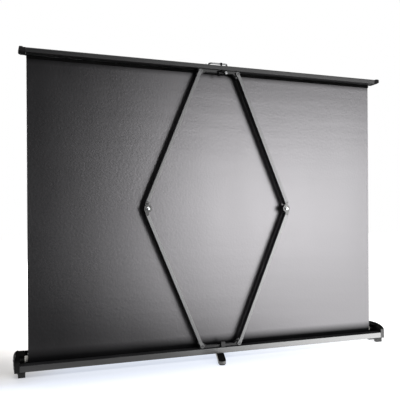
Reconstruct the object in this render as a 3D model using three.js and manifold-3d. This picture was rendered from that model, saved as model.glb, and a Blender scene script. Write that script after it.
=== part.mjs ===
// Table-top pull-up projection screen with a folding diamond of four arms.
// Millimetres, +Z up. The arms and latch are behind the fabric, on +Y; the viewing side is -Y.
// Left is +X, which is left as seen from behind. The floor is z = 0, under the swivel foot's pivot.
import * as THREE from 'three';
import { mergeVertices } from 'three/addons/utils/BufferGeometryUtils.js';
import Module from 'manifold-3d';

const wasm = await Module();
wasm.setup();

// Driving dimensions: fabric and roller
const fabricWidth = 850;
const fabricThick = 0.6;
const fabricY = -12;
const rollerZ = 30;
const rollerRadius = 10;
const rollerWall = 1.5;
const wrapThick = 1.4;
const rollerInset = 4;
const rollerPinRadius = 4;
const rollerBossRadius = 6.5;
const troughGap = 4.8;

// Driving dimensions: base rail, end caps and feet
const railOverhang = 18;
const railTop = 25;
const railBack = 12.5;
const railFront = -8.5;
const railWall = 1.8;
const troughLipAngle = 120;
const capWall = 10;
const hoodReach = 11.5;
const hoodRoof = 4.5;
const capTop = 46.5;
const capBottom = 10.3;
const capRound = 9;
const capPlugLength = 14;
const collarRadius = 7.5;
const collarLength = 11.5;
const socketDepth = 8;
const footThick = 14;

// Driving dimensions: arms
const armWidth = 8;
const armDepth = 16;
const armWall = 1.2;
const armMidY = 2;
const tongueThick = 7;
const forkCheek = 3;
const eyeRadius = 4.8;
const elbowRadius = 8.7;
const hingePinRadius = 2.5;
const elbowBoltRadius = 3;
const eyeToTube = 14;
const shoulderLength = 4;
const plugLength = 16;
const pivotHalf = 46;
const elbowHalf = 172;
const basePivotZ = 30.5;

// Driving dimensions: top bar, latch, bail and swivel foot
const lidUnder = 663;
const lidHeight = 10;
const lidFront = -16;
const lidBack = 13;
const lidWall = 1.4;
const lidOverhang = 3;
const topCapThick = 12.7;
const topCapTip = 6.5;
const topPivotDrop = 6;
const hemHeight = 6.2;
const hemDepth = 6;
const bracketThick = 1.8;
const bracketOverhang = 6;
const webInset = 8;
const latchX = -16;
const latchDrop = 5;
const latchThick = 2;
const tabHeight = 17;
const bailHalf = 22;
const bailRadius = 1.9;
const bailReach = 14;
const bailHingeY = -10;
const bailTilt = 10;
const swivelHalf = 77;
const swivelWidth = 17;
const swivelTurn = 18;
const padHeight = 2.2;
const footBoltRadius = 3;
const footNutRadius = 4.2;
const footNutHeight = 5;

// Clearances: pieces that meet, pieces that turn, and the closed lid over the end caps
const clear = 0.3;
const armRest = 0.5;
const closedGap = 0.5;

// Derived places
const halfRail = fabricWidth / 2 + railOverhang;
const wrapRadius = rollerRadius + clear + wrapThick;
const rollerY = fabricY - fabricThick / 2 - clear - wrapRadius;
const troughInner = wrapRadius + troughGap;
const troughOuter = troughInner + railWall;
const railBottom = rollerZ - troughOuter;
const topPivotZ = lidUnder - topPivotDrop;
const halfRise = (topPivotZ - basePivotZ) / 2;
const elbowZ = basePivotZ + halfRise;
const armLength = Math.hypot(halfRise, elbowHalf - pivotHalf);
const restAngle = Math.atan2(halfRise, elbowHalf - pivotHalf);
const closedRise = (capTop + closedGap - topPivotDrop - basePivotZ) / 2;
const foldAngle = Math.asin(closedRise / armLength);
const swing = restAngle - foldAngle;
const elbowU = armLength * Math.cos(foldAngle);
const elbowV = closedRise;
const tubeV = railTop + armRest + armWidth / 2 - basePivotZ;
const armFront = armMidY - armDepth / 2;
const armBack = armMidY + armDepth / 2;
const tongueFront = armMidY - tongueThick / 2;
const tongueBack = armMidY + tongueThick / 2;
const slotFront = tongueFront - clear;
const slotBack = tongueBack + clear;
const earFront = armFront + forkCheek + clear;
const earBack = armBack - forkCheek - clear;
const halfLid = fabricWidth / 2 + lidOverhang;
const lidTop = lidUnder + lidHeight;
const bracketHalf = pivotHalf + bracketOverhang;
const bracketWebHalf = pivotHalf - webInset;

// Finishes
const finish = (color, roughness, metalness) => ({ color, roughness, metalness });
const blackPaint = finish(0x202123, 0.42, 0.3);
const armPaint = finish(0x26272a, 0.4, 0.4);
const capPlastic = finish(0x1a1817, 0.5, 0);
const rubberBlack = finish(0x121212, 0.85, 0);
const brightSteel = finish(0xc9cbcd, 0.22, 1);
const greySteel = finish(0x7c7f82, 0.4, 0.9);
const blackOxide = finish(0x1b1c1e, 0.45, 0.7);
const fabricBlack = finish(0x222326, 0.6, 0);
const nylon = finish(0xd8d8d2, 0.5, 0);

const screen = new THREE.Group();

function addMesh(parent, name, geometry, look) {
  const mesh = new THREE.Mesh(geometry, new THREE.MeshStandardMaterial(look));
  mesh.name = name;
  parent.add(mesh);
  return mesh;
}

// Closed solid from a three.js geometry, with its faces pointing out
function solidOf(geometry) {
  const bare = geometry.index ? geometry.toNonIndexed() : geometry.clone();
  bare.deleteAttribute('normal');
  bare.deleteAttribute('uv');
  const merged = mergeVertices(bare, 1e-4);
  const kept = [];
  const index = merged.index.array;
  for (let i = 0; i < index.length; i += 3) {
    const [a, b, c] = [index[i], index[i + 1], index[i + 2]];
    if (a !== b && b !== c && a !== c) kept.push(a, b, c);
  }
  const vertProperties = Float32Array.from(merged.attributes.position.array);
  const build = (triVerts) => new wasm.Manifold(new wasm.Mesh({ numProp: 3, vertProperties, triVerts }));
  const solid = build(Uint32Array.from(kept));
  if (solid.volume() > 0) return solid;
  const turned = kept.map((_, i) => kept[i - (i % 3) + (2 - (i % 3))]);
  return build(Uint32Array.from(turned));
}

function geometryOf(solid) {
  const mesh = solid.getMesh();
  const geometry = new THREE.BufferGeometry();
  geometry.setAttribute('position', new THREE.BufferAttribute(Float32Array.from(mesh.vertProperties), 3));
  geometry.setIndex(new THREE.BufferAttribute(Uint32Array.from(mesh.triVerts), 1));
  geometry.computeVertexNormals();
  return geometry;
}

const join = (...solids) => solids.reduce((sum, solid) => sum.add(solid));

const axisX = new THREE.Vector3(1, 0, 0);
const axisY = new THREE.Vector3(0, 1, 0);
const axisZ = new THREE.Vector3(0, 0, 1);

// A flat outline drawn in two of the model's axes and pushed along the third
function extruded(shape, depth, matrix, segments) {
  const geometry = new THREE.ExtrudeGeometry(shape, { depth, bevelEnabled: false, curveSegments: segments });
  return solidOf(geometry.applyMatrix4(matrix));
}

function alongX(shape, x0, x1, segments = 6) {
  const matrix = new THREE.Matrix4().makeBasis(axisY, axisZ, axisX).setPosition(x0, 0, 0);
  return extruded(shape, x1 - x0, matrix, segments);
}

function alongY(shape, y0, y1, segments = 6) {
  const matrix = new THREE.Matrix4().makeBasis(axisX, axisZ, axisY.clone().negate()).setPosition(0, y1, 0);
  return extruded(shape, y1 - y0, matrix, segments);
}

function alongZ(shape, z0, z1, segments = 6) {
  return extruded(shape, z1 - z0, new THREE.Matrix4().setPosition(0, 0, z0), segments);
}

function block(x0, x1, y0, y1, z0, z1) {
  const geometry = new THREE.BoxGeometry(x1 - x0, y1 - y0, z1 - z0);
  return solidOf(geometry.translate((x0 + x1) / 2, (y0 + y1) / 2, (z0 + z1) / 2));
}

// A turned piece: [radius, place] pairs along the axis, closed on the axis
function turned(profile, axis, sides = 16) {
  const first = profile[0][1];
  const last = profile[profile.length - 1][1];
  const points = [[0, first], ...profile, [0, last]].map(([r, h]) => new THREE.Vector2(r, h));
  const geometry = new THREE.LatheGeometry(points, sides);
  geometry.applyQuaternion(new THREE.Quaternion().setFromUnitVectors(axisY, axis));
  return solidOf(geometry);
}

const rod = (axis, radius, from, to, sides = 16) => turned([[radius, from], [radius, to]], axis, sides);

function ringX(inner, outer, x0, x1, sides = 28) {
  const ring = new THREE.Shape().absarc(0, 0, outer, 0, 2 * Math.PI, false);
  ring.holes.push(new THREE.Path().absarc(0, 0, inner, 0, 2 * Math.PI, true));
  return alongX(ring, x0, x1, sides);
}

function roundRect(a0, a1, b0, b1, radius) {
  const shape = new THREE.Shape();
  shape.absarc(a1 - radius, b1 - radius, radius, 0, Math.PI / 2, false);
  shape.absarc(a0 + radius, b1 - radius, radius, Math.PI / 2, Math.PI, false);
  shape.absarc(a0 + radius, b0 + radius, radius, Math.PI, 1.5 * Math.PI, false);
  shape.absarc(a1 - radius, b0 + radius, radius, 1.5 * Math.PI, 2 * Math.PI, false);
  return shape;
}

function polygon(points) {
  return new THREE.Shape(points.map(([a, b]) => new THREE.Vector2(a, b)));
}

const radians = THREE.MathUtils.degToRad;

// Base rail: hollow rear bar, flat floor and a trough that curves round the roller
function baseRail() {
  const lip = radians(troughLipAngle);
  const outline = new THREE.Shape();
  outline.moveTo(railBack, railBottom);
  outline.lineTo(railBack, railTop - 1);
  outline.lineTo(railBack - 1, railTop);
  outline.lineTo(railFront, railTop);
  outline.lineTo(railFront, railBottom + railWall);
  outline.lineTo(rollerY, railBottom + railWall);
  outline.absarc(rollerY, rollerZ, troughInner, 1.5 * Math.PI, lip, true);
  outline.absarc(rollerY, rollerZ, troughOuter, lip, 1.5 * Math.PI, false);
  outline.lineTo(railBack, railBottom);
  const bar = [railFront + railWall, railBack - railWall, railBottom + railWall, railTop - railWall];
  outline.holes.push(roundRect(...bar, 1));
  const boltHole = rod(axisZ, footBoltRadius + clear, railBottom - 1, railTop + 1);
  return alongX(outline, -halfRail, halfRail, 10).subtract(boltHole);
}
addMesh(screen, 'base_rail', geometryOf(baseRail()), blackPaint);

// End cap: an outer wall, flat over the roller and falling in a convex slope to the back, with its
// outer edge rounded off. A roof over the roller's end and a shoe under the rail reach inwards.
const capFront = rollerY - troughOuter - 1;
const capBack = railBack;
const capInner = halfRail + clear;
const capOuter = capInner + capWall;
const hoodInner = capInner - hoodReach;

function capOutline() {
  const side = new THREE.Shape();
  const shoulderY = rollerY + 8;
  side.moveTo(capBack, capBottom);
  side.lineTo(capBack, capTop - 17);
  side.bezierCurveTo(capBack, capTop - 9, capBack - 8, capTop - 4, shoulderY, capTop);
  side.lineTo(shoulderY - 20, capTop);
  side.absarc(rollerY - 2, rollerZ, troughOuter - 1, radians(troughLipAngle), radians(215), false);
  side.lineTo(capFront + 9, capBottom);
  return side;
}

function endCap() {
  const face = new THREE.Shape();
  face.moveTo(hoodInner, capBottom);
  face.lineTo(capOuter, capBottom);
  face.lineTo(capOuter, capTop - 2 * capRound);
  face.bezierCurveTo(capOuter, capTop - capRound, capOuter - 3, capTop, capOuter - capRound, capTop);
  face.lineTo(hoodInner, capTop);
  const lengthwise = alongX(capOutline(), hoodInner, capOuter, 8);
  const whole = lengthwise.intersect(alongY(face, capFront - 20, capBack + 1, 8));
  const lipAngle = radians(troughLipAngle);
  const roofFront = rollerY + (troughInner - 1) * Math.cos(lipAngle) + clear;
  const recess = block(
    hoodInner - 1, capInner, capFront - 20, capBack + 1, railBottom - clear, capTop - hoodRoof,
  );
  const lipRoom = block(hoodInner - 1, capInner, capFront - 20, roofFront, capBottom - 1, capTop + 1);
  const fit = railWall + clear;
  const plug = alongX(
    roundRect(railFront + fit, railBack - fit, railBottom + fit, railTop - fit, 1),
    capInner - capPlugLength, capInner + 1,
  );
  const collar = rod(axisX, collarRadius, capInner - collarLength, capInner + 1, 24);
  const socket = rod(axisX, rollerPinRadius + clear, capInner - collarLength - 1, capInner + socketDepth);
  const body = join(whole.subtract(recess).subtract(lipRoom), plug, collar.translate(0, rollerY, rollerZ));
  return body.subtract(socket.translate(0, rollerY, rollerZ));
}

// Small moulded foot under cap and rail end: an arch from front pad to back pad
function endFoot() {
  const top = capBottom - clear;
  const front = capFront + 12;
  const back = capBack - 0.5;
  const padLength = 13;
  const shape = new THREE.Shape();
  shape.moveTo(front, top);
  shape.lineTo(front, 3);
  shape.quadraticCurveTo(front, 0, front + 3, 0);
  shape.lineTo(front + padLength - 2, 0);
  shape.quadraticCurveTo(front + padLength, top - 4, front + padLength + 5, top - 4);
  shape.lineTo(back - padLength - 5, top - 4);
  shape.quadraticCurveTo(back - padLength, top - 4, back - padLength + 2, 0);
  shape.lineTo(back - 3, 0);
  shape.quadraticCurveTo(back, 0, back, 3);
  shape.lineTo(back, top);
  return alongX(shape, hoodInner + clear, hoodInner + clear + footThick, 4);
}

const mirrorX = (solid) => solid.mirror([1, 0, 0]);
const cap = endCap();
addMesh(screen, 'end_cap_left', geometryOf(cap), capPlastic);
addMesh(screen, 'end_cap_right', geometryOf(mirrorX(cap)), capPlastic);
const foot = endFoot();
addMesh(screen, 'end_foot_left', geometryOf(foot), rubberBlack);
addMesh(screen, 'end_foot_right', geometryOf(mirrorX(foot)), rubberBlack);

// Folded bracket: a short web with two long ears that hold the hinge pins, inside the arms' forks
function hingeBracket(webFace, pivotZ, up) {
  const reach = eyeRadius - 0.2;
  const ear = (y0) => {
    const shape = new THREE.Shape();
    shape.moveTo(-bracketHalf, webFace);
    shape.lineTo(bracketHalf, webFace);
    shape.lineTo(bracketHalf, pivotZ);
    shape.lineTo(pivotHalf + 2, pivotZ + up * reach);
    shape.lineTo(pivotHalf - 6, pivotZ + up * reach);
    shape.lineTo(pivotHalf - 12, pivotZ);
    shape.lineTo(12 - pivotHalf, pivotZ);
    shape.lineTo(6 - pivotHalf, pivotZ + up * reach);
    shape.lineTo(-pivotHalf - 2, pivotZ + up * reach);
    shape.lineTo(-bracketHalf, pivotZ);
    return alongY(shape, y0, y0 + bracketThick);
  };
  const low = Math.min(webFace, webFace + up * bracketThick);
  const web = block(
    -bracketWebHalf, bracketWebHalf,
    earFront + bracketThick / 2, earBack - bracketThick / 2, low, low + bracketThick,
  );
  const holes = [-pivotHalf, pivotHalf].map((x) =>
    rod(axisY, hingePinRadius + clear, earFront - 1, earBack + 1).translate(x, 0, pivotZ));
  const whole = join(ear(earFront), ear(earBack - bracketThick), web);
  return holes.reduce((rest, hole) => rest.subtract(hole), whole);
}

// Hinge pin with chamfered ends, just inside the faces of the arm's fork
function hingePin() {
  const from = armFront + clear;
  const to = armBack - clear;
  return turned([
    [hingePinRadius - 0.5, from], [hingePinRadius, from + 0.5],
    [hingePinRadius, to - 0.5], [hingePinRadius - 0.5, to],
  ], axisY);
}

const baseBracket = hingeBracket(railTop + clear, basePivotZ, 1)
  .subtract(rod(axisZ, footNutRadius + 2 * clear, railTop - 1, basePivotZ + 1));
addMesh(screen, 'base_bracket', geometryOf(baseBracket), blackPaint);

const nameSide = (side) => (side > 0 ? 'left' : 'right');
for (const side of [1, -1]) {
  const pin = addMesh(screen, `base_pin_${nameSide(side)}`, geometryOf(hingePin()), blackOxide);
  pin.position.set(side * pivotHalf, 0, basePivotZ);
}

// Arm pieces are drawn folded flat, with the bracket pivot at (0, 0), then swung to the open pose
const place = (side, up) => ([u, v]) => [side * u, up * v];

function armTube(at) {
  const [x0, z0] = at([eyeToTube, tubeV - armWidth / 2]);
  const [x1, z1] = at([elbowU - eyeToTube, tubeV + armWidth / 2]);
  const [low, high] = [Math.min(x0, x1), Math.max(x0, x1)];
  const [bottom, top] = [Math.min(z0, z1), Math.max(z0, z1)];
  const outer = roundRect(armFront, armBack, bottom, top, 1);
  outer.holes.push(roundRect(
    armFront + armWall, armBack - armWall, bottom + armWall, top - armWall, 0.4,
  ));
  return alongX(outer, low, high, 3);
}

// Shoulder that butts against a tube end, with a plug inside the tube
function tubeEnd(at, from, into) {
  const inset = armWall + clear;
  const slab = (u0, u1, shrink) => {
    const [x0, z0] = at([u0, tubeV - armWidth / 2 + shrink]);
    const [x1, z1] = at([u1, tubeV + armWidth / 2 - shrink]);
    return block(
      Math.min(x0, x1), Math.max(x0, x1), armFront + shrink, armBack - shrink,
      Math.min(z0, z1), Math.max(z0, z1),
    );
  };
  const shoulder = slab(from, from - into * shoulderLength, 0);
  const plug = slab(from - into, from + into * plugLength, inset);
  return join(shoulder, plug);
}

// Lobe that runs from a shoulder to an eye round the pivot
function lobe(at, pivot, radius, shoulderU, y0, y1) {
  const way = Math.sign(shoulderU - pivot[0]);
  const eye = new THREE.Shape().absarc(...at(pivot), radius, 0, 2 * Math.PI, false);
  const neck = polygon([
    at([pivot[0], pivot[1] + radius]), at([pivot[0] - way * radius * 0.2, pivot[1] - radius * 0.95]),
    at([shoulderU + way, tubeV - armWidth / 2 + 0.5]), at([shoulderU + way, tubeV + armWidth / 2 - 0.5]),
  ]);
  return join(alongY(eye, y0, y1, 10), alongY(neck, y0, y1));
}

function bracketFork(at) {
  const shoulder = eyeToTube - clear;
  const cheeks = [[armFront, armFront + forkCheek], [armBack - forkCheek, armBack]].map(([y0, y1]) =>
    lobe(at, [0, 0], eyeRadius, shoulder - shoulderLength, y0, y1));
  const hole = rod(axisY, hingePinRadius + clear, armFront - 1, armBack + 1);
  return join(tubeEnd(at, shoulder, 1), ...cheeks).subtract(hole);
}

const elbowPivot = [elbowU, elbowV];

function elbowEnd(at, layers) {
  const shoulder = elbowU - eyeToTube + clear;
  const lobes = layers.map(([y0, y1]) =>
    lobe(at, elbowPivot, elbowRadius, shoulder + shoulderLength, y0, y1));
  const [x, z] = at(elbowPivot);
  const hole = rod(axisY, elbowBoltRadius + clear, armFront - 1, armBack + 1).translate(x, 0, z);
  return join(tubeEnd(at, shoulder, -1), ...lobes).subtract(hole);
}

// Elbow bolt with a low head on the fabric side, and the domed nut that shows behind
const boltHead = 1.8;
const boltReach = 2.2;
const nutRadius = 4.6;
const nutHeight = 4.6;

function elbowBolt() {
  const seat = armFront - clear;
  return turned([
    [5, seat - boltHead], [5.6, seat - boltHead + 0.5], [5.6, seat], [elbowBoltRadius, seat],
    [elbowBoltRadius, armBack + boltReach],
  ], axisY);
}

function domeNut() {
  const seat = armBack + clear;
  const dome = [];
  for (let step = 0; step <= 5; step += 1) {
    const angle = (step / 5) * radians(78);
    dome.push([nutRadius * 0.92 * Math.cos(angle), seat + 1.4 + (nutHeight - 1.4) * Math.sin(angle)]);
  }
  const body = turned([[nutRadius, seat], [nutRadius, seat + 1], ...dome], axisY, 24);
  return body.subtract(rod(axisY, elbowBoltRadius + clear, seat - 1, armBack + boltReach + clear));
}

function addArm(side, up, pivotZ) {
  const at = place(side, up);
  const arm = new THREE.Group();
  arm.position.set(side * pivotHalf, 0, pivotZ);
  arm.rotation.y = -side * up * swing;
  screen.add(arm);
  const level = up > 0 ? 'lower' : 'upper';
  const end = up > 0 ? 'base' : 'top';
  const label = nameSide(side);
  addMesh(arm, `${level}_tube_${label}`, geometryOf(armTube(at)), armPaint);
  addMesh(arm, `${end}_fork_${label}`, geometryOf(bracketFork(at)), armPaint);
  if (up < 0) {
    const blade = [[tongueFront, tongueBack]];
    addMesh(arm, `elbow_tongue_${label}`, geometryOf(elbowEnd(at, blade)), capPlastic);
    return;
  }
  const cheeks = [[armFront, slotFront], [slotBack, armBack]];
  addMesh(arm, `elbow_fork_${label}`, geometryOf(elbowEnd(at, cheeks)), capPlastic);
  const [x, z] = at(elbowPivot);
  const bolt = addMesh(arm, `elbow_bolt_${label}`, geometryOf(elbowBolt()), brightSteel);
  const nut = addMesh(arm, `elbow_nut_${label}`, geometryOf(domeNut()), brightSteel);
  bolt.position.set(x, 0, z);
  nut.position.set(x, 0, z);
}
for (const side of [1, -1]) {
  addArm(side, 1, basePivotZ);
  addArm(side, -1, topPivotZ);
}

// Latch places, measured from the rivet
const plateFront = earBack + clear;
const plateBack = plateFront + latchThick;
const latchZ = lidUnder - latchDrop;
const hookInner = 16.5;
const hookOuter = 20.5;
const hookDrop = 8.5;
const barbLength = 1.5;
const tabFrom = 9;
const tabWidth = 4;
const latchSwing = 22;

// Top bar: hollow bar with rounded upper edges and a slot for the latch's tab
function topBar() {
  const outline = new THREE.Shape();
  const round = 2.5;
  outline.moveTo(lidFront, lidUnder);
  outline.lineTo(lidBack, lidUnder);
  outline.absarc(lidBack - round, lidTop - round, round, 0, Math.PI / 2, false);
  outline.absarc(lidFront + round, lidTop - round, round, Math.PI / 2, Math.PI, false);
  const hollow = roundRect(lidFront + lidWall, lidBack - lidWall, lidUnder + lidWall, lidTop - lidWall, 1);
  outline.holes.push(hollow);
  const lean = radians(latchSwing);
  const reach = (tabFrom + tabWidth) / Math.cos(lean) + (lidTop - latchZ) * Math.tan(lean);
  const slot = block(
    latchX + tabFrom - 1, latchX + reach + 1, plateFront - clear, plateBack + clear, lidUnder - 1, lidTop + 1,
  );
  return alongX(outline, -halfLid, halfLid, 4).subtract(slot);
}
addMesh(screen, 'top_bar', geometryOf(topBar()), blackPaint);

// End cap of the top bar: a plug, a body flush with the bar and a raised rounded tip
function topCap() {
  const inset = lidWall + clear;
  const inner = halfLid + clear;
  const outer = inner + topCapThick;
  const plug = alongX(
    roundRect(lidFront + inset, lidBack - inset, lidUnder + inset, lidTop - inset, 0.8),
    inner - capPlugLength, inner + 1,
  );
  const side = roundRect(lidFront - 0.6, lidBack + 0.6, lidUnder, lidTop + 1.6, 3);
  const face = new THREE.Shape();
  face.moveTo(inner, lidUnder - 1);
  face.lineTo(outer - topCapTip, lidUnder - 1);
  face.lineTo(outer, lidUnder + 3);
  face.lineTo(outer, lidTop - 2);
  face.quadraticCurveTo(outer, lidTop + 2, outer - 4, lidTop + 2);
  face.lineTo(outer - topCapTip, lidTop + 2);
  face.lineTo(outer - topCapTip - 1.5, lidTop - 0.5);
  face.lineTo(inner, lidTop - 0.5);
  const end = alongX(side, inner, outer, 4);
  return join(plug, end.intersect(alongY(face, lidFront - 5, lidBack + 5, 5)));
}
const upperCap = topCap();
addMesh(screen, 'top_cap_left', geometryOf(upperCap), capPlastic);
addMesh(screen, 'top_cap_right', geometryOf(mirrorX(upperCap)), capPlastic);

// Hem bar under the top bar: round-edged, with a slit from below for the fabric's edge
const slitDepth = 2.6;

function hemBar() {
  const top = lidUnder - clear;
  const shape = roundRect(fabricY - hemDepth / 2, fabricY + hemDepth / 2, top - hemHeight, top, 1.2);
  const gap = fabricThick / 2 + clear;
  const slit = block(
    -fabricWidth / 2 - 1, fabricWidth / 2 + 1, fabricY - gap, fabricY + gap,
    top - hemHeight - 1, top - hemHeight + slitDepth,
  );
  return alongX(shape, -fabricWidth / 2, fabricWidth / 2, 4).subtract(slit);
}
addMesh(screen, 'hem_bar', geometryOf(hemBar()), blackPaint);

// Fabric: hangs from the hem bar's slit down to where it leaves the roll
const fabricTop = lidUnder - clear - hemHeight + slitDepth - clear;
const fabricSolid = block(
  -fabricWidth / 2, fabricWidth / 2,
  fabricY - fabricThick / 2, fabricY + fabricThick / 2, rollerZ, fabricTop,
);
addMesh(screen, 'screen_fabric', geometryOf(fabricSolid), fabricBlack);

const rivetHole = rod(axisY, 2 + clear, earBack - bracketThick - 1, earBack + 1).translate(latchX, 0, latchZ);
const topBracket = hingeBracket(lidUnder - clear, topPivotZ, -1).subtract(rivetHole);
addMesh(screen, 'top_bracket', geometryOf(topBracket), blackPaint);
for (const side of [1, -1]) {
  const pin = addMesh(screen, `top_pin_${nameSide(side)}`, geometryOf(hingePin()), blackOxide);
  pin.position.set(side * pivotHalf, 0, topPivotZ);
}

// Latch hook: a plate on the rivet, with a barbed hook and a tab up through the top bar
function latchHook() {
  const tabTop = lidTop - latchZ + tabHeight - lidHeight;
  const plate = polygon([
    [0, 3], [tabFrom, 3], [tabFrom, tabTop], [tabFrom + tabWidth, tabTop], [tabFrom + tabWidth, 3],
    [hookOuter, 3], [hookOuter, 1.5 - hookDrop], [hookOuter - 1.5, -hookDrop],
    [hookInner - barbLength, -hookDrop], [hookInner - barbLength, 2 - hookDrop], [hookInner, 2 - hookDrop],
    [hookInner, -0.5], [4, -0.5], [0, -3],
  ]);
  const boss = new THREE.Shape().absarc(0, 0, 4.2, 0, 2 * Math.PI, false);
  const body = join(alongY(plate, plateFront, plateBack), alongY(boss, plateFront, plateBack, 8));
  return body.subtract(rod(axisY, 2 + clear, plateFront - 1, plateBack + 1));
}
const hook = addMesh(screen, 'latch_hook', geometryOf(latchHook()), capPlastic);
hook.position.set(latchX, 0, latchZ);

function latchRivet() {
  const back = plateBack + clear;
  const inner = earBack - bracketThick - clear;
  return turned([
    [2.5, inner - 1], [2.5, inner], [2, inner], [2, back],
    [4.3, back], [4, back + 1.2], [2.4, back + 2.2],
  ], axisY);
}
const rivet = addMesh(screen, 'latch_rivet', geometryOf(latchRivet()), brightSteel);
rivet.position.set(latchX, 0, latchZ);

// Catch on the rail: a post behind the hook's path, with a peg that the barb swings under
const pegX = -4;
const pegRadius = 1.5;
const pegZ = latchZ - (lidUnder - capTop - closedGap) - 8;
const postHalf = 5;

function catchPost() {
  const front = plateBack + clear;
  const seat = railTop + clear;
  const post = alongY(
    roundRect(pegX - postHalf, pegX + postHalf, seat - 2, pegZ + 3, 1.5), front, railBack,
  ).subtract(block(pegX - 9, pegX + 9, front - 1, railBack + 1, seat - 4, seat));
  const peg = rod(axisY, pegRadius, plateFront - clear / 2, front + 0.5, 14).translate(pegX, 0, pegZ);
  return join(post, peg);
}
addMesh(screen, 'catch_post', geometryOf(catchPost()), blackOxide);

// Pull bail on two ears: a bent rod that lies back on the top bar
const bailZ = lidTop + bailRadius + 1.2;
const bailStub = 4;

function bailEar(side) {
  const inner = bailHalf + bailRadius + clear;
  const shape = new THREE.Shape();
  shape.moveTo(bailHingeY - 5, lidTop + clear);
  shape.lineTo(bailHingeY + 5, lidTop + clear);
  shape.lineTo(bailHingeY + 3.4, bailZ);
  shape.absarc(bailHingeY, bailZ, 3.4, 0, Math.PI, false);
  const ear = alongX(shape, inner, inner + bailStub - 0.5).subtract(
    rod(axisX, bailRadius + clear - 0.7, inner - 1, inner + bailStub + 1).translate(0, bailHingeY, bailZ),
  );
  return side > 0 ? ear : mirrorX(ear);
}

class BailPath extends THREE.CurvePath {
  constructor() {
    super();
    const bend = 6;
    const corner = (x, y) => new THREE.Vector3(x, y, 0);
    const legs = [
      new THREE.LineCurve3(corner(bailHalf, 0), corner(bailHalf, bailReach - bend)),
      new THREE.QuadraticBezierCurve3(
        corner(bailHalf, bailReach - bend), corner(bailHalf, bailReach), corner(bailHalf - bend, bailReach)),
      new THREE.LineCurve3(corner(bailHalf - bend, bailReach), corner(bend - bailHalf, bailReach)),
      new THREE.QuadraticBezierCurve3(
        corner(bend - bailHalf, bailReach), corner(-bailHalf, bailReach), corner(-bailHalf, bailReach - bend)),
      new THREE.LineCurve3(corner(-bailHalf, bailReach - bend), corner(-bailHalf, 0)),
    ];
    legs.forEach((leg) => this.add(leg));
  }
}

function pullBail() {
  const section = new THREE.Shape().absarc(0, 0, bailRadius, 0, 2 * Math.PI, false);
  const path = new BailPath();
  const loop = new THREE.ExtrudeGeometry(section, { steps: 36, curveSegments: 10, extrudePath: path });
  const eyes = [1, -1].map((side) => {
    const stub = rod(axisX, bailRadius - 0.7, 0, bailRadius + bailStub, 12);
    const knuckle = rod(axisX, bailRadius + 0.4, -bailRadius, bailRadius, 14);
    const end = join(stub, knuckle);
    return (side > 0 ? end : mirrorX(end)).translate(side * bailHalf, 0, 0);
  });
  return join(solidOf(loop), ...eyes);
}

addMesh(screen, 'bail_ear_left', geometryOf(bailEar(1)), capPlastic);
addMesh(screen, 'bail_ear_right', geometryOf(bailEar(-1)), capPlastic);
const bail = addMesh(screen, 'pull_bail', geometryOf(pullBail()), brightSteel);
bail.position.set(0, bailHingeY, bailZ);
bail.rotation.x = radians(bailTilt);

// Roller: tube, the turns of fabric that stay on it, and its end plugs
const rollerHalf = fabricWidth / 2 - rollerInset;
const plugFlange = 1.6;
const tubeBore = rollerRadius - rollerWall;
const plugRadius = tubeBore - clear;
const shaftRadius = 3;
const plugDepth = 12;
const springTurns = 18;
const springLength = 150;
const springWire = 0.8;
const springRadius = 6;

function addRoller(name, solid, look) {
  addMesh(screen, name, geometryOf(solid.translate(0, rollerY, rollerZ)), look);
}
addRoller('roller_tube', ringX(tubeBore, rollerRadius, -rollerHalf, rollerHalf, 12), greySteel);
const wraps = ringX(rollerRadius + clear, wrapRadius, -fabricWidth / 2, fabricWidth / 2, 12);
addRoller('fabric_wraps', wraps, fabricBlack);

const flangeIn = rollerHalf + clear;
const flangeOut = flangeIn + plugFlange;
const bossEnd = capInner - collarLength - clear;
const socketEnd = capInner + socketDepth - 1;
addRoller('idle_plug', turned([
  [plugRadius, rollerHalf - plugDepth], [plugRadius, flangeIn], [rollerRadius, flangeIn],
  [rollerRadius, flangeOut], [rollerBossRadius, flangeOut], [rollerBossRadius, bossEnd],
  [rollerPinRadius, bossEnd], [rollerPinRadius, socketEnd],
], axisX, 24), nylon);

const shaftBore = rod(axisX, shaftRadius + clear, -rollerHalf - 20, 0);
const bearing = turned([
  [rollerBossRadius, -bossEnd], [rollerBossRadius, -flangeOut], [rollerRadius, -flangeOut],
  [rollerRadius, -flangeIn], [plugRadius, -flangeIn],
  [plugRadius, plugDepth - rollerHalf],
], axisX, 24);
addRoller('bearing_plug', bearing.subtract(shaftBore), nylon);

const springFrom = plugDepth - rollerHalf + clear;
const springTo = springFrom + springLength;
const anchor = rod(axisX, plugRadius, springTo + clear, springTo + clear + plugDepth, 24);
addRoller('spring_plug', anchor.subtract(shaftBore), nylon);
addRoller('spring_shaft', turned([
  [rollerPinRadius, -socketEnd], [rollerPinRadius, -bossEnd - clear], [shaftRadius, -bossEnd - clear],
  [shaftRadius, springTo + plugDepth],
], axisX, 24), brightSteel);

// Return spring: one unbroken helix round the shaft, its ends run straight along the shaft
class SpringPath extends THREE.Curve {
  getPoint(t, target = new THREE.Vector3()) {
    const angle = 2 * Math.PI * springTurns * t;
    const x = springFrom + springWire + (springLength - 2 * springWire) * t;
    return target.set(x, springRadius * Math.cos(angle), springRadius * Math.sin(angle));
  }
}

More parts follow.
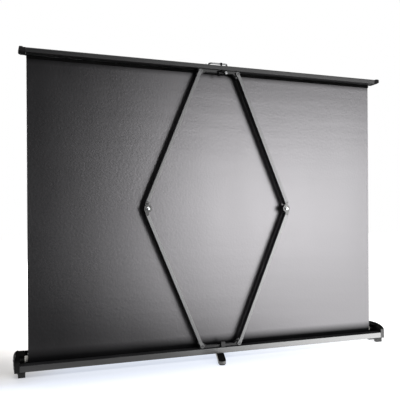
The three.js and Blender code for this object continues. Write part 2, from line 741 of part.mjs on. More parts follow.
function coilGeometry() {
  const path = new SpringPath();
  const stepsPerTurn = 8;
  const sides = 5;
  const steps = springTurns * stepsPerTurn;
  const positions = [];
  const index = [];
  for (let i = 0; i <= steps; i += 1) {
    const t = i / steps;
    const centre = path.getPoint(t);
    const angle = 2 * Math.PI * springTurns * t;
    const outward = new THREE.Vector3(0, Math.cos(angle), Math.sin(angle));
    for (let k = 0; k < sides; k += 1) {
      const turn = (2 * Math.PI * k) / sides;
      const point = centre.clone();
      point.addScaledVector(outward, springWire * Math.cos(turn));
      point.addScaledVector(axisX, springWire * Math.sin(turn));
      positions.push(point.x, point.y, point.z);
    }
  }
  for (let i = 0; i < steps; i += 1) {
    for (let k = 0; k < sides; k += 1) {
      const a = i * sides + k;
      const b = i * sides + ((k + 1) % sides);
      index.push(a, a + sides, b, b, a + sides, b + sides);
    }
  }
  for (let k = 1; k < sides - 1; k += 1) {
    const last = steps * sides;
    index.push(0, k, k + 1, last, last + k + 1, last + k);
  }
  const geometry = new THREE.BufferGeometry();
  geometry.setAttribute('position', new THREE.Float32BufferAttribute(positions, 3));
  geometry.setIndex(index);
  return geometry;
}
const pitchGap = (springLength - 2 * springWire) / springTurns - 2 * springWire;
console.log(`winding_spring least gap between turns ${pitchGap.toFixed(2)} mm`);
addRoller('winding_spring', solidOf(coilGeometry()), greySteel);

// Swivel foot: a round-ended bar under the rail, turned out to the back, with a rubber pad at each end
const swivelTop = railBottom - clear;
const swivelBottom = padHeight + clear;
const boltHeadHeight = 3;

function stadium(halfLength, width) {
  const radius = width / 2;
  const shape = new THREE.Shape();
  shape.absarc(0, halfLength - radius, radius, 0, Math.PI, false);
  shape.absarc(0, radius - halfLength, radius, Math.PI, 2 * Math.PI, false);
  return shape;
}

function swivelBar() {
  const plan = alongZ(stadium(swivelHalf, swivelWidth), swivelBottom, swivelTop, 10);
  const side = new THREE.Shape();
  side.moveTo(-swivelHalf - 1, swivelBottom - 1);
  side.lineTo(swivelHalf + 1, swivelBottom - 1);
  side.lineTo(swivelHalf + 1, swivelTop - 3);
  side.quadraticCurveTo(swivelHalf - 14, swivelTop, swivelHalf - 34, swivelTop);
  side.lineTo(34 - swivelHalf, swivelTop);
  side.quadraticCurveTo(14 - swivelHalf, swivelTop, -swivelHalf - 1, swivelTop - 3);
  const hole = rod(axisZ, footBoltRadius + clear, 0, swivelTop + 1);
  const recess = rod(axisZ, 7, 0, swivelBottom + boltHeadHeight + clear);
  return plan.intersect(alongX(side, -swivelWidth, swivelWidth, 6)).subtract(hole).subtract(recess);
}

function footPad(way) {
  const round = alongZ(stadium(swivelHalf - 2, swivelWidth - 4), 0, padHeight, 8);
  const near = swivelHalf - 26;
  const far = swivelHalf + 1;
  const [y0, y1] = way > 0 ? [near, far] : [-far, -near];
  return round.intersect(block(-swivelWidth, swivelWidth, y0, y1, -1, padHeight + 1));
}

const swivel = new THREE.Group();
swivel.rotation.z = -radians(swivelTurn);
screen.add(swivel);
addMesh(swivel, 'swivel_foot', geometryOf(swivelBar()), capPlastic);
addMesh(swivel, 'foot_pad_back', geometryOf(footPad(1)), rubberBlack);
addMesh(swivel, 'foot_pad_front', geometryOf(footPad(-1)), rubberBlack);

// Pivot bolt up through foot and rail, with its nut on the rail inside the bracket's round cut-out
const nutSeat = railTop + clear;
const nutTop = nutSeat + footNutHeight;
const footBolt = turned([
  [6, swivelBottom], [6.4, swivelBottom + 0.6], [6.4, swivelBottom + boltHeadHeight],
  [footBoltRadius, swivelBottom + boltHeadHeight], [footBoltRadius, nutTop + 1],
], axisZ);
addMesh(screen, 'foot_bolt', geometryOf(footBolt), blackOxide);
const nutBody = turned([[footNutRadius, nutSeat], [footNutRadius, nutTop]], axisZ, 6);
const footNut = nutBody.subtract(rod(axisZ, footBoltRadius + clear, nutSeat - 1, nutTop + 2));
addMesh(screen, 'foot_nut', geometryOf(footNut), blackOxide);

export default screen;
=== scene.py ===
import math

import bmesh
import bpy
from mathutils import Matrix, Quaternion, Vector


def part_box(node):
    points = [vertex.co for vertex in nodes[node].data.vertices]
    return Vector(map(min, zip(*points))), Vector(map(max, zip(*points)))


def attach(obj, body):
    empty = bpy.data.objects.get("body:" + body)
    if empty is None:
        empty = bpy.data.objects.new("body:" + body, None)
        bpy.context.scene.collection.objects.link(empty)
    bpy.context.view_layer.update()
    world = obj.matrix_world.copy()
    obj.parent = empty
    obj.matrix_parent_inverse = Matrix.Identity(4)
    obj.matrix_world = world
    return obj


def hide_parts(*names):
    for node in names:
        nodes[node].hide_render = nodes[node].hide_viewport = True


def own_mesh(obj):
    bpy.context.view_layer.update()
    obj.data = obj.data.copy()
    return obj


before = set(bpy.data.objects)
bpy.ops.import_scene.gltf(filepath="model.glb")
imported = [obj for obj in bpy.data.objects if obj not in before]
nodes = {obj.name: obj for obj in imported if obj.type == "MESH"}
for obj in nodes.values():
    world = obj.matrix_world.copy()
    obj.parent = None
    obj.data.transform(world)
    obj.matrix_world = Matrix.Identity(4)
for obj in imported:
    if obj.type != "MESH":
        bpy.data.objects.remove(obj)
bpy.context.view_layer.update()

scene = bpy.context.scene
print("frame loaded:", len(nodes), "nodes")


# camera, set from the photo's straight edges
cameraSet = {
    "place": (0.5024, 1.2171, 0.3281),
    "turn": 20.53,      # degrees off square to the screen's back
    "roll": -0.355,
    "lens": 51.1,
    "sensor": 36,
    "shiftY": 0.0386,
}


def makeCamera(s):
    data = bpy.data.cameras.new("photoCamera")
    data.lens = s["lens"]
    data.sensor_width = s["sensor"]
    data.shift_y = s["shiftY"]
    camera = bpy.data.objects.new("photoCamera", data)
    scene.collection.objects.link(camera)
    turn = math.radians(s["turn"])
    look = Vector((-math.sin(turn), -math.cos(turn), 0))
    roll = Quaternion((0, 0, 1), math.radians(s["roll"]))
    camera.location = s["place"]
    camera.rotation_mode = "QUATERNION"
    camera.rotation_quaternion = look.to_track_quat("-Z", "Y") @ roll
    scene.camera = camera


makeCamera(cameraSet)
print("camera placed")


# small helpers for node materials
plain = (1, 1, 1)           # pattern not stretched
fullRange = (0.0, 1.0)
noiseRange = (0.3, 0.7)     # where most of a noise pattern lies


def startFinish(name):
    finish = bpy.data.materials.new(name)
    finish.use_nodes = True
    tree = finish.node_tree
    return finish, tree, tree.nodes["Principled BSDF"]


def addNode(tree, kind, **values):
    node = tree.nodes.new(kind)
    for key, value in values.items():
        if hasattr(node, key):
            setattr(node, key, value)
        else:
            node.inputs[key].default_value = value
    return node


def feed(tree, source, socket):
    if isinstance(source, bpy.types.NodeSocket):
        tree.links.new(source, socket)
    elif socket.type == "RGBA":
        socket.default_value = (*source, 1)
    else:
        socket.default_value = source


def reckon(tree, operation, *values):
    node = addNode(tree, "ShaderNodeMath", operation=operation)
    for socket, value in zip(node.inputs, values):
        feed(tree, value, socket)
    return node.outputs["Value"]


def objectPoints(tree, stretch=plain, shift=(0, 0, 0)):
    points = addNode(tree, "ShaderNodeTexCoord")
    mapping = addNode(tree, "ShaderNodeMapping", Scale=stretch, Location=shift)
    tree.links.new(points.outputs["Object"], mapping.inputs["Vector"])
    return mapping.outputs["Vector"]


def axesOf(tree, vector):
    axes = addNode(tree, "ShaderNodeSeparateXYZ")
    tree.links.new(vector, axes.inputs["Vector"])
    return axes.outputs


def surfaceNormal(tree):
    return addNode(tree, "ShaderNodeNewGeometry").outputs["Normal"]


def noiseOn(tree, vector, scale, detail=3.0):
    noise = addNode(tree, "ShaderNodeTexNoise", Scale=scale, Detail=detail)
    tree.links.new(vector, noise.inputs["Vector"])
    return noise.outputs["Fac"]


def spread(tree, value, to=fullRange, span=noiseRange, soft=False):
    ranged = addNode(tree, "ShaderNodeMapRange")
    if soft:
        ranged.interpolation_type = "SMOOTHSTEP"
    for key, limit in zip(("From Min", "From Max", "To Min", "To Max"), (*span, *to)):
        ranged.inputs[key].default_value = limit
    tree.links.new(value, ranged.inputs["Value"])
    return ranged.outputs["Result"]


def between(tree, value, first, second):
    ramp = addNode(tree, "ShaderNodeValToRGB")
    for stop, place, colour in zip(ramp.color_ramp.elements, noiseRange, (first, second)):
        stop.position = place
        stop.color = (*colour, 1)
    tree.links.new(value, ramp.inputs["Fac"])
    return ramp.outputs["Color"]


def blend(tree, share, first, second):
    mix = addNode(tree, "ShaderNodeMix", data_type="RGBA")
    tree.links.new(share, mix.inputs["Factor"])
    sockets = [x for x in mix.inputs if x.type == "RGBA"]
    for socket, colour in zip(sockets, (first, second)):
        feed(tree, colour, socket)
    return [x for x in mix.outputs if x.type == "RGBA"][0]


def relief(tree, height, strength, depth, under=None):
    bump = addNode(tree, "ShaderNodeBump", Strength=strength, Distance=depth)
    tree.links.new(height, bump.inputs["Height"])
    if under is not None:
        tree.links.new(under, bump.inputs["Normal"])
    return bump.outputs["Normal"]


# what all finishes share, unless their own dictionary says otherwise
commonSet = {
    "stretch": plain,
    "metal": 0.0,
    "ior": 1.5,
    "cloud": 14,                    # scale of the broad drift between the two tones
    "edgeRadius": 0.0005,           # softens the machined edges
    "edgeSamples": 4,
    "edgeTurn": (0.995, 0.9),       # how far an edge bends before its paint is rubbed
    "rubbedPatches": (0.45, 0.6),
    "rubbedMost": 0.6,
    "topFacing": (0.1, 0.6),        # upward turn over which a matt top starts
    # the painted shade on side faces fades out over this turn to the back
    "backFacing": (0.5, 0.9),       # turn to the back over which dark sides end
}

# one dictionary per finish: two tones, roughness range, grain and relief
finishSets = {
    "anodisedBlack": {
        "tones": ((0.016, 0.016, 0.017), (0.026, 0.026, 0.027)), "rough": (0.29, 0.34),
        "stretch": (6, 900, 900), "grain": 1.0, "relief": (0.12, 0.00004),
        "specular": 1.0, "ior": 1.66, "mattTop": True, "worn": (0.16, 0.16, 0.165),
    },
    "lidBlack": {
        "tones": ((0.008, 0.008, 0.0085), (0.014, 0.014, 0.0145)), "rough": (0.40, 0.48),
        "stretch": (6, 900, 900), "grain": 1.0, "relief": (0.12, 0.00004),
        "specular": 0.4, "worn": (0.10, 0.10, 0.105),
    },
    "satinBlack": {
        "tones": ((0.004, 0.004, 0.004), (0.008, 0.008, 0.008)), "rough": (0.5, 0.6),
        "grain": 1500, "relief": (0.2, 0.00006), "specular": 0.0,
    },
    "lidCapBlack": {
        "tones": ((0.017, 0.0165, 0.017), (0.025, 0.0245, 0.025)), "rough": (0.5, 0.6),
        "grain": 1900, "relief": (0.2, 0.00006), "specular": 0.0,
    },
    "capBlack": {
        "tones": ((0.004, 0.004, 0.0039), (0.008, 0.0078, 0.0076)), "rough": (0.28, 0.36),
        "grain": 1900, "relief": (0.2, 0.00006), "specular": 0.4, "mattTop": True,
    },
    "armEnamel": {
        "tones": ((0.030, 0.030, 0.032), (0.040, 0.040, 0.042)), "rough": (0.34, 0.40),
        "grain": 1400, "relief": (0.10, 0.00005), "specular": 0.92,
        # sides: painted shade, a darker tone on the arm's side faces
        "sides": (0.010, 0.010, 0.011), "worn": (0.20, 0.20, 0.205),
    },
    # painted light: a lighter copy of armEnamel for the lower arms, standing in for the bright
    # floor they mirror
    "lowerArmEnamelPaintedLight": {
        "tones": ((0.085, 0.085, 0.087), (0.100, 0.100, 0.102)), "rough": (0.34, 0.40),
        "grain": 1400, "relief": (0.10, 0.00005), "specular": 1.0,
        # sides: painted shade, a darker tone on the arm's side faces
        "sides": (0.010, 0.010, 0.011), "worn": (0.20, 0.20, 0.205),
    },
    "mouldedBlack": {
        "tones": ((0.006, 0.0058, 0.0056), (0.011, 0.0105, 0.010)), "rough": (0.22, 0.32),
        "grain": 1900, "relief": (0.22, 0.00008), "specular": 0.5,
    },
    "glossBlack": {
        "tones": ((0.006, 0.0058, 0.0056), (0.010, 0.0098, 0.0095)), "rough": (0.24, 0.30),
        "grain": 1900, "relief": (0.12, 0.00005),
        "specular": 1.0, "ior": 1.8, "mattTop": True,
    },
    "footRubber": {
        "tones": ((0.008, 0.008, 0.008), (0.016, 0.016, 0.016)), "rough": (0.62, 0.8),
        "grain": 1200, "relief": (0.25, 0.0001), "specular": 0.4,
    },
    "polishedSteel": {
        "tones": ((0.74, 0.75, 0.76), (0.82, 0.83, 0.84)), "rough": (0.08, 0.16),
        "grain": 500, "relief": (0.04, 0.00002), "metal": 1.0, "specular": 0.5,
    },
    "zincSteel": {
        "tones": ((0.20, 0.205, 0.21), (0.28, 0.285, 0.29)), "rough": (0.40, 0.50),
        "stretch": (60, 700, 700), "grain": 1.0, "relief": (0.10, 0.00003),
        "metal": 1.0, "specular": 0.5,
    },
    "dullSteel": {
        "tones": ((0.16, 0.162, 0.165), (0.21, 0.212, 0.215)), "rough": (0.40, 0.50),
        "grain": 700, "relief": (0.10, 0.00003), "metal": 1.0, "specular": 0.5,
    },
    "naturalNylon": {
        "tones": ((0.66, 0.65, 0.60), (0.76, 0.75, 0.70)), "rough": (0.40, 0.52),
        "grain": 900, "relief": (0.10, 0.00005), "specular": 0.5,
    },
}


def mattTop(tree, s):
    upward = axesOf(tree, surfaceNormal(tree))["Z"]
    return spread(tree, upward, (s["specular"], 0.0), s["topFacing"])


# painted shade: faces turned sideways, away from front and back, take the darker sides tone
def paintSideShade(tree, colour, s):
    backward = reckon(tree, "ABSOLUTE", axesOf(tree, surfaceNormal(tree))["Y"])
    return blend(tree, spread(tree, backward, span=s["backFacing"]), s["sides"], colour)


def wearEdges(tree, colour, softNormal, cloud, s):
    turn = addNode(tree, "ShaderNodeVectorMath", operation="DOT_PRODUCT")
    tree.links.new(softNormal, turn.inputs[0])
    tree.links.new(surfaceNormal(tree), turn.inputs[1])
    bent = spread(tree, turn.outputs["Value"], span=s["edgeTurn"])
    patches = spread(tree, cloud, (0.0, s["rubbedMost"]), s["rubbedPatches"])
    return blend(tree, reckon(tree, "MULTIPLY", bent, patches), colour, s["worn"])


def makeFinish(name, own):
    s = {**commonSet, **own}
    finish, tree, bsdf = startFinish(name)
    grain = noiseOn(tree, objectPoints(tree, s["stretch"]), s["grain"])
    cloud = noiseOn(tree, objectPoints(tree), s["cloud"], detail=4.0)
    edge = addNode(tree, "ShaderNodeBevel", samples=s["edgeSamples"], Radius=s["edgeRadius"])
    softNormal = edge.outputs["Normal"]
    colour = between(tree, cloud, *s["tones"])
    if "sides" in s:
        colour = paintSideShade(tree, colour, s)
    if "worn" in s:
        colour = wearEdges(tree, colour, softNormal, cloud, s)
    feed(tree, colour, bsdf.inputs["Base Color"])
    feed(tree, spread(tree, grain, s["rough"]), bsdf.inputs["Roughness"])
    feed(tree, s["metal"], bsdf.inputs["Metallic"])
    feed(tree, s["specular"], bsdf.inputs["Specular IOR Level"])
    feed(tree, s["ior"], bsdf.inputs["IOR"])
    if "mattTop" in s:
        feed(tree, mattTop(tree, s), bsdf.inputs["Specular IOR Level"])
    feed(tree, relief(tree, grain, *s["relief"], under=softNormal), bsdf.inputs["Normal"])
    return finish


finishes = {name: makeFinish(name, own) for name, own in finishSets.items()}


# the cloth: black coated back with a fine weave, matt white front inside a black border
clothSet = {
    "thread": 360,          # weave scale, close to 0.9 mm a thread
    "backTones": ((0.005, 0.005, 0.0055), (0.009, 0.009, 0.0095)),
    "backDrift": ((3, 3, 1), 2.2),
    "backRough": (0.30, 0.34),
    "backSpecular": 1.0,
    "backTint": (1.0, 0.975, 1.01),
    "backWeave": (0.06, 0.00004),
    "dullEnds": ((0.052, 0.032), (0.646, 0.662)),   # heights over which the coating turns matt
    "grain": 195,
    "grainDepth": 0.00013,
    "slack": ((0.12, 1, 1), 26.0),      # faint waves that the roll leaves in the cloth
    "slackDepth": 0.0003,
    "halfWidth": 0.425,
    "borderSide": 0.0185,
    "borderTop": 0.640,     # heights of the white field's edges
    "borderBottom": 0.066,
    "white": (0.80, 0.80, 0.79),
    "whiteDrift": 3.0,
    "whiteLow": 0.985,      # share of white in its duller patches
    "frontRough": 0.88,
    "frontSpecular": 0.2,
    "frontWeave": (0.08, 0.00005),
}


def weaveHeight(tree, thread):
    vector = objectPoints(tree)
    waves = []
    for direction in ("X", "Z"):
        wave = addNode(tree, "ShaderNodeTexWave", bands_direction=direction, Scale=thread)
        tree.links.new(vector, wave.inputs["Vector"])
        waves.append(wave.outputs["Fac"])
    return reckon(tree, "MULTIPLY", *waves)


def makeClothBack(s):
    finish, tree, bsdf = startFinish("clothBack")
    driftStretch, driftScale = s["backDrift"]
    cloud = noiseOn(tree, objectPoints(tree, driftStretch), driftScale)
    feed(tree, between(tree, cloud, *s["backTones"]), bsdf.inputs["Base Color"])
    feed(tree, spread(tree, cloud, s["backRough"]), bsdf.inputs["Roughness"])
    feed(tree, s["backTint"], bsdf.inputs["Specular Tint"])
    height = axesOf(tree, objectPoints(tree))["Z"]
    ends = [spread(tree, height, (s["backSpecular"], 0.0), span) for span in s["dullEnds"]]
    feed(tree, s["backSpecular"], bsdf.inputs["Specular IOR Level"])
    feed(tree, reckon(tree, "MINIMUM", *ends), bsdf.inputs["Specular IOR Level"])
    slackStretch, slackScale = s["slack"]
    waves = noiseOn(tree, objectPoints(tree, slackStretch), slackScale, detail=2.0)
    grain = noiseOn(tree, objectPoints(tree), s["grain"], detail=2.0)
    slack = relief(tree, waves, 1.0, s["slackDepth"])
    leather = relief(tree, grain, 1.0, s["grainDepth"], under=slack)
    weave = relief(tree, weaveHeight(tree, s["thread"]), *s["backWeave"], under=leather)
    feed(tree, weave, bsdf.inputs["Normal"])
    return finish


def makeClothFront(s):
    finish, tree, bsdf = startFinish("clothFront")
    axes = axesOf(tree, objectPoints(tree))
    side = reckon(tree, "ABSOLUTE", axes["X"])
    across = reckon(tree, "LESS_THAN", side, s["halfWidth"] - s["borderSide"])
    below = reckon(tree, "LESS_THAN", axes["Z"], s["borderTop"])
    above = reckon(tree, "GREATER_THAN", axes["Z"], s["borderBottom"])
    field = reckon(tree, "MULTIPLY", reckon(tree, "MULTIPLY", across, below), above)
    cloud = noiseOn(tree, objectPoints(tree), s["whiteDrift"])
    duller = tuple(tone * s["whiteLow"] for tone in s["white"])
    white = between(tree, cloud, duller, s["white"])
    feed(tree, blend(tree, field, s["backTones"][0], white), bsdf.inputs["Base Color"])
    feed(tree, s["frontRough"], bsdf.inputs["Roughness"])
    feed(tree, s["frontSpecular"], bsdf.inputs["Specular IOR Level"])
    weave = relief(tree, weaveHeight(tree, s["thread"]), *s["frontWeave"])
    feed(tree, weave, bsdf.inputs["Normal"])
    return finish


clothBack = makeClothBack(clothSet)
clothFront = makeClothFront(clothSet)
print("finishes made:", len(finishes) + 2)


# selecting and finishing pieces
smoothAngle = math.radians(32)


def dropSelection():
    bpy.ops.object.select_all(action="DESELECT")


def pick(piece):
    dropSelection()
    piece.select_set(True)
    bpy.context.view_layer.objects.active = piece


def applyModifiers(piece):
    pick(piece)
    for modifier in list(piece.modifiers):
        bpy.ops.object.modifier_apply(modifier=modifier.name)


def settle(piece):
    pick(piece)
    bpy.ops.object.transform_apply(location=True, rotation=True, scale=True)


def thicken(piece, thick):
    wall = piece.modifiers.new("wall", "SOLIDIFY")
    wall.thickness = thick
    wall.offset = 0
    applyModifiers(piece)


# which finish each CAD node wears, by the start of its name
wearSets = {
    "anodisedBlack": ("base_rail",),
    "lidBlack": ("top_bar", "top_bracket", "base_bracket", "catch_post"),
    "satinBlack": ("hem_bar", "foot_nut", "latch_hook", "foot_bolt"),
    "lidCapBlack": ("top_cap",),
    "capBlack": ("end_cap",),
    "glossBlack": ("swivel_foot",),
    "armEnamel": ("upper_tube", "top_fork", "base_pin", "top_pin"),
    "lowerArmEnamelPaintedLight": ("lower_tube", "base_fork"),
    "mouldedBlack": ("bail_ear", "elbow_fork", "elbow_tongue"),
    "footRubber": ("end_foot", "foot_pad"),
    "polishedSteel": ("elbow_bolt", "elbow_nut", "spring_shaft"),
    "zincSteel": ("roller_tube", "winding_spring"),
    "dullSteel": ("pull_bail", "latch_rivet"),
    "naturalNylon": ("idle_plug", "bearing_plug", "spring_plug"),
}
for finishName, starts in wearSets.items():
    for nodeName, node in nodes.items():
        if nodeName.startswith(starts):
            node.data.materials.clear()
            node.data.materials.append(finishes[finishName])
            pick(node)
            bpy.ops.object.shade_smooth_by_angle(angle=smoothAngle)
print("CAD nodes dressed")


# the hanging cloth, stretched flat between the roll and the hem bar
sheetSet = {
    "columns": 60,
    "rows": 44,
    "thick": 0.0006,
    "frontTurn": -0.5,      # faces turned further to the viewing side than this are white
    "closedShare": 0.0203,  # share of the height that shows when the arms are folded
}


def makeScreenSheet(s):
    low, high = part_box("screen_fabric")
    middle = (low.y + high.y) / 2
    dropSelection()
    bpy.ops.mesh.primitive_grid_add(x_subdivisions=s["columns"], y_subdivisions=s["rows"], size=1)
    piece = bpy.context.active_object
    piece.name = "screenSheet"
    for vertex in piece.data.vertices:
        x = (low.x + high.x) / 2 + vertex.co.x * (high.x - low.x)
        z = (low.z + high.z) / 2 + vertex.co.y * (high.z - low.z)
        vertex.co = (x, middle, z)
    thicken(piece, s["thick"])
    piece.data.materials.append(clothBack)
    piece.data.materials.append(clothFront)
    for face in piece.data.polygons:
        face.material_index = 1 if face.normal.y < s["frontTurn"] else 0
    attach(piece, "base")
    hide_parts("screen_fabric")
    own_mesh(piece)


# the turns of cloth that stay on the roller, as one spiral
rollSet = {
    "turns": 2.3,
    "steps": 44,            # steps in one turn
    "thick": 0.0004,
    "build": 0.0011,        # how far the spiral grows from its first turn to its last
    "smooth": 40,
}


def makeClothRoll(s):
    low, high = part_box("fabric_wraps")
    middleY, middleZ = (low.y + high.y) / 2, (low.z + high.z) / 2
    outer = (high.z - low.z) / 2 - s["thick"]
    inner = outer - s["build"]
    count = int(s["turns"] * s["steps"])
    winding = 2 * math.pi * s["turns"]
    shape = bmesh.new()
    rows = []
    for step in range(count + 1):
        share = step / count
        radius = inner + (outer - inner) * share
        angle = winding * (share - 1)
        y = middleY + radius * math.cos(angle)
        z = middleZ + radius * math.sin(angle)
        rows.append([shape.verts.new((x, y, z)) for x in (low.x, high.x)])
    for first, second in zip(rows, rows[1:]):
        shape.faces.new((first[0], first[1], second[1], second[0]))
    bmesh.ops.recalc_face_normals(shape, faces=shape.faces)
    mesh = bpy.data.meshes.new("clothRoll")
    shape.to_mesh(mesh)
    shape.free()
    piece = bpy.data.objects.new("clothRoll", mesh)
    scene.collection.objects.link(piece)
    thicken(piece, s["thick"])
    piece.data.materials.append(clothBack)
    bpy.ops.object.shade_smooth_by_angle(angle=math.radians(s["smooth"]))
    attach(piece, "roller")
    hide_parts("fabric_wraps")


makeScreenSheet(sheetSet)
makeClothRoll(rollSet)
print("cloth made")


# cross-head screws in the end caps: one into the roller shaft, one into the rail
screwSet = {
    "radius": 0.0031,
    "height": 0.0017,
    "sunk": 0.0005,
    "sides": 32,
    "crown": 0.0009,        # bevel of the upper rim
    "crownSteps": 4,
    "rimReach": 0.0001,     # edges this close to the top make the rim
    "slotLength": 0.0034,
    "slotWidth": 0.0008,
    "slotDepth": 0.0009,
    "shaft": (-0.0243, 0.0290),     # y and z on the cap's outer face
    "rail": (0.0020, 0.0190),
}


def cutCross(head, s, top):
    for size in ((s["slotLength"], s["slotWidth"]), (s["slotWidth"], s["slotLength"])):
        dropSelection()
        bpy.ops.mesh.primitive_cube_add(size=1, location=(0, 0, top))
        tool = bpy.context.active_object
        tool.scale = (*size, 2 * s["slotDepth"])
        settle(tool)
        cut = head.modifiers.new("cross", "BOOLEAN")
        cut.operation = "DIFFERENCE"
        cut.object = tool
        applyModifiers(head)
        bpy.data.objects.remove(tool, do_unlink=True)


def makeScrewHead(s):
    dropSelection()
    bpy.ops.mesh.primitive_cylinder_add(vertices=s["sides"], radius=s["radius"], depth=s["height"])
    head = bpy.context.active_object
    head.name = "capScrew"
    top = s["height"] / 2
    bpy.ops.object.mode_set(mode="EDIT")
    bpy.ops.mesh.select_all(action="DESELECT")
    bpy.ops.mesh.select_mode(type="EDGE")
    shape = bmesh.from_edit_mesh(head.data)
    for edge in shape.edges:
        edge.select = all(vertex.co.z > top - s["rimReach"] for vertex in edge.verts)
    bmesh.update_edit_mesh(head.data)
    bpy.ops.mesh.bevel(offset=s["crown"], segments=s["crownSteps"])
    bpy.ops.object.mode_set(mode="OBJECT")
    cutCross(head, s, top)
    return head


def placeScrews(s):
    head = makeScrewHead(s)
    for side, capName in ((1, "end_cap_left"), (-1, "end_cap_right")):
        low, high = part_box(capName)
        outside = high.x if side > 0 else low.x
        for use in ("shaft", "rail"):
            screw = head.copy()
            screw.data = head.data.copy()
            screw.name = use + "Screw" + ("Left" if side > 0 else "Right")
            scene.collection.objects.link(screw)
            screw.rotation_euler = (0, side * math.pi / 2, 0)
            screw.location = (outside + side * (s["height"] / 2 - s["sunk"]), *s[use])
            settle(screw)
            bpy.ops.object.shade_smooth_by_angle(angle=smoothAngle)
            screw.data.materials.append(finishes["zincSteel"])
            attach(screw, "base")
    bpy.data.objects.remove(head, do_unlink=True)


placeScrews(screwSet)
print("screws set")


# soft lights: a side box behind on the photo's right, one above, one on the viewing side
lightSets = {
    "sideSoftbox": {
        "place": (-1.74, 2.94, 0.52), "aim": (0, 0, 0.33), "size": (1.9, 1.2), "power": 64.5,
    },
    "topPanel": {
        "place": (0, 0.4, 2.6), "aim": (0, 0, 0.3), "size": (2.0, 2.0), "power": 26,
    },
    "frontPanel": {
        "place": (0.6, -2.9, 1.3), "aim": (0, 0, 0.33), "size": (1.6, 1.6), "power": 56,
    },
}


def makeLight(name, s):
    data = bpy.data.lights.new(name, "AREA")
    data.shape = "RECTANGLE"
    data.size, data.size_y = s["size"]
    data.energy = s["power"]
    light = bpy.data.objects.new(name, data)
    scene.collection.objects.link(light)
    light.location = s["place"]
    aim = Vector(s["aim"]) - Vector(s["place"])
    light.rotation_mode = "QUATERNION"
    light.rotation_quaternion = aim.to_track_quat("-Z", "Y")


# the room: white where it is seen or mirrored, dimmer as a light
worldSet = {
    "ambient": 0.42,
    "seen": 1.0,
    "rays": ("Is Camera Ray", "Is Glossy Ray", "Is Transmission Ray"),
}


def makeWorld(s):
    world = bpy.data.worlds.new("whiteRoom")
    world.use_nodes = True
    scene.world = world
    tree = world.node_tree
    path = addNode(tree, "ShaderNodeLightPath")
    camera, glossy, through = [path.outputs[ray] for ray in s["rays"]]
    seen = reckon(tree, "MAXIMUM", reckon(tree, "MAXIMUM", camera, glossy), through)
    background = tree.nodes["Background"]
    feed(tree, (1, 1, 1), background.inputs["Color"])
    level = spread(tree, seen, (s["ambient"], s["seen"]), fullRange)
    feed(tree, level, background.inputs["Strength"])


def mattPaint(name, tone):
    finish, tree, bsdf = startFinish(name)
    feed(tree, (tone, tone, tone), bsdf.inputs["Base Color"])
    feed(tree, 1.0, bsdf.inputs["Roughness"])
    feed(tree, 0.0, bsdf.inputs["Specular IOR Level"])
    return finish, tree, bsdf


# the table: white to the camera, with a painted bluish contact shadow along the rail and a
# painted soft shadow at the left end, and a bright far side on the camera's right that only
# mirror rays see: a glowing floor, a painted reflection of brightly lit surroundings
floorSet = {
    "size": 14,
    "drop": 0.0002,         # keeps it just under the feet
    "tone": 0.45,
    # the glow drops near the rail for the painted contact shadow, which the tints turn bluish
    "glow": (1.0, 0.55),    # seen glow far off and near the object
    "shadowTints": ((1.0, 1.0, 1.0), (0.88, 0.95, 1.10)),     # far off and near the object
    "railShadowRise": (-0.9, 0.4),     # along the rail
    "railShadowEnd": (0.70, 0.48),
    "railShadowDepth": (0.20, 0.04),   # away from the rail
    # painted shadow: a soft, warm dark spot in the floor's glow at the left end
    "shadePlace": (0.50, -0.17),
    "shadeReach": (0.20, 0.30),
    "shadeDepth": 0.55,
    "shadeTint": (1.0, 0.96, 0.93),
    # painted reflection: a glow that only mirror rays see, far brighter than white on the far
    # right
    "paintedSheenLevel": (0.06, 5.5),
    "paintedSheenAlong": (0.20, -0.50),
    "nearLevel": (0.42, 0.0),       # close behind the rail
    "nearSpan": (0.04, 0.24),
    "frontLevel": (0.06, 1.0),      # on the viewing side
    "frontSpan": (-0.1, 0.0),
}


def floorGlow(tree, s, axes, cameraRay):
    # painted contact shadow: a dimmer, bluish strip in the glow along the rail
    off = reckon(tree, "ABSOLUTE", axes["Y"])
    along = reckon(tree, "MULTIPLY", spread(tree, axes["X"], span=s["railShadowRise"]),
                   spread(tree, axes["X"], span=s["railShadowEnd"]))
    railShadow = reckon(tree, "MULTIPLY", along, spread(tree, off, span=s["railShadowDepth"]))
    # painted shadow: a soft warm spot at the left end
    scale = tuple(1 / reach for reach in s["shadeReach"])
    shift = tuple(-place * share for place, share in zip(s["shadePlace"], scale))
    distance = addNode(tree, "ShaderNodeVectorMath", operation="LENGTH")
    tree.links.new(objectPoints(tree, (*scale, 0), (*shift, 0)), distance.inputs[0])
    shade = spread(tree, distance.outputs["Value"], (s["shadeDepth"], 0.0), fullRange, soft=True)
    shaded = reckon(tree, "SUBTRACT", spread(tree, railShadow, s["glow"], fullRange), shade)
    shadeWarmth = spread(tree, shade, span=(0.0, s["shadeDepth"] / 2))
    glow = addNode(tree, "ShaderNodeEmission")
    railShadowColour = between(tree, railShadow, *s["shadowTints"])
    feed(tree, blend(tree, shadeWarmth, railShadowColour, s["shadeTint"]), glow.inputs["Color"])
    feed(tree, reckon(tree, "MULTIPLY", cameraRay, shaded), glow.inputs["Strength"])
    return glow.outputs["Emission"]


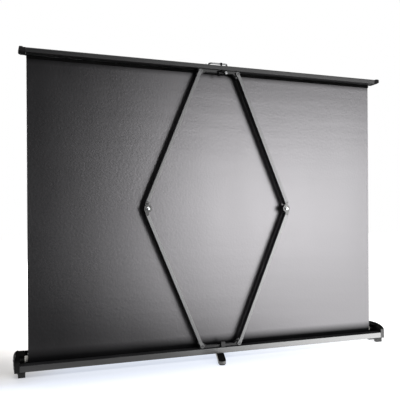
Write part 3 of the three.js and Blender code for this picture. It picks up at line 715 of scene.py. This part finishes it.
def floorPaintedSheen(tree, s, axes):
    # painted reflection: the floor glows for mirror rays, up to 5.5 times white towards the far
    # right
    far = spread(tree, axes["X"], s["paintedSheenLevel"], s["paintedSheenAlong"], soft=True)
    near = spread(tree, axes["Y"], s["nearLevel"], s["nearSpan"])
    behind = spread(tree, axes["Y"], s["frontLevel"], s["frontSpan"])
    paintedSheen = addNode(tree, "ShaderNodeEmission")
    level = reckon(tree, "MULTIPLY", reckon(tree, "MAXIMUM", far, near), behind)
    feed(tree, level, paintedSheen.inputs["Strength"])
    return paintedSheen.outputs["Emission"]


def makeFloor(s):
    dropSelection()
    bpy.ops.mesh.primitive_plane_add(size=s["size"], location=(0, 0, -s["drop"]))
    floor = bpy.context.active_object
    floor.name = "floor"
    finish, tree, bsdf = mattPaint("paleFloor", s["tone"])
    path = addNode(tree, "ShaderNodeLightPath").outputs
    axes = axesOf(tree, objectPoints(tree))
    lit = addNode(tree, "ShaderNodeAddShader")
    tree.links.new(bsdf.outputs["BSDF"], lit.inputs[0])
    tree.links.new(floorGlow(tree, s, axes, path["Is Camera Ray"]), lit.inputs[1])
    both = addNode(tree, "ShaderNodeMixShader")
    tree.links.new(path["Is Glossy Ray"], both.inputs["Fac"])
    tree.links.new(lit.outputs["Shader"], both.inputs[1])
    tree.links.new(floorPaintedSheen(tree, s, axes), both.inputs[2])
    tree.links.new(both.outputs["Shader"], tree.nodes["Material Output"].inputs["Surface"])
    floor.data.materials.append(finish)


# dark flag behind the camera, which the left of the cloth mirrors
flagSet = {
    "x": (-0.5, 5.0),
    "y": 2.2,
    "z": (0.0, 4.0),
    "tone": 0.01,
}


def makeFlag(s):
    dropSelection()
    bpy.ops.mesh.primitive_plane_add(size=1)
    flag = bpy.context.active_object
    flag.name = "darkFlag"
    for vertex in flag.data.vertices:
        x = s["x"][0] if vertex.co.x < 0 else s["x"][1]
        z = s["z"][0] if vertex.co.y < 0 else s["z"][1]
        vertex.co = (x, s["y"], z)
    flag.data.materials.append(mattPaint("flagCloth", s["tone"])[0])
    flag.visible_camera = False
    flag.visible_diffuse = False


for lightName, lightSet in lightSets.items():
    makeLight(lightName, lightSet)
makeWorld(worldSet)
makeFloor(floorSet)
makeFlag(flagSet)
scene.view_settings.view_transform = "Standard"
print("stage lit")
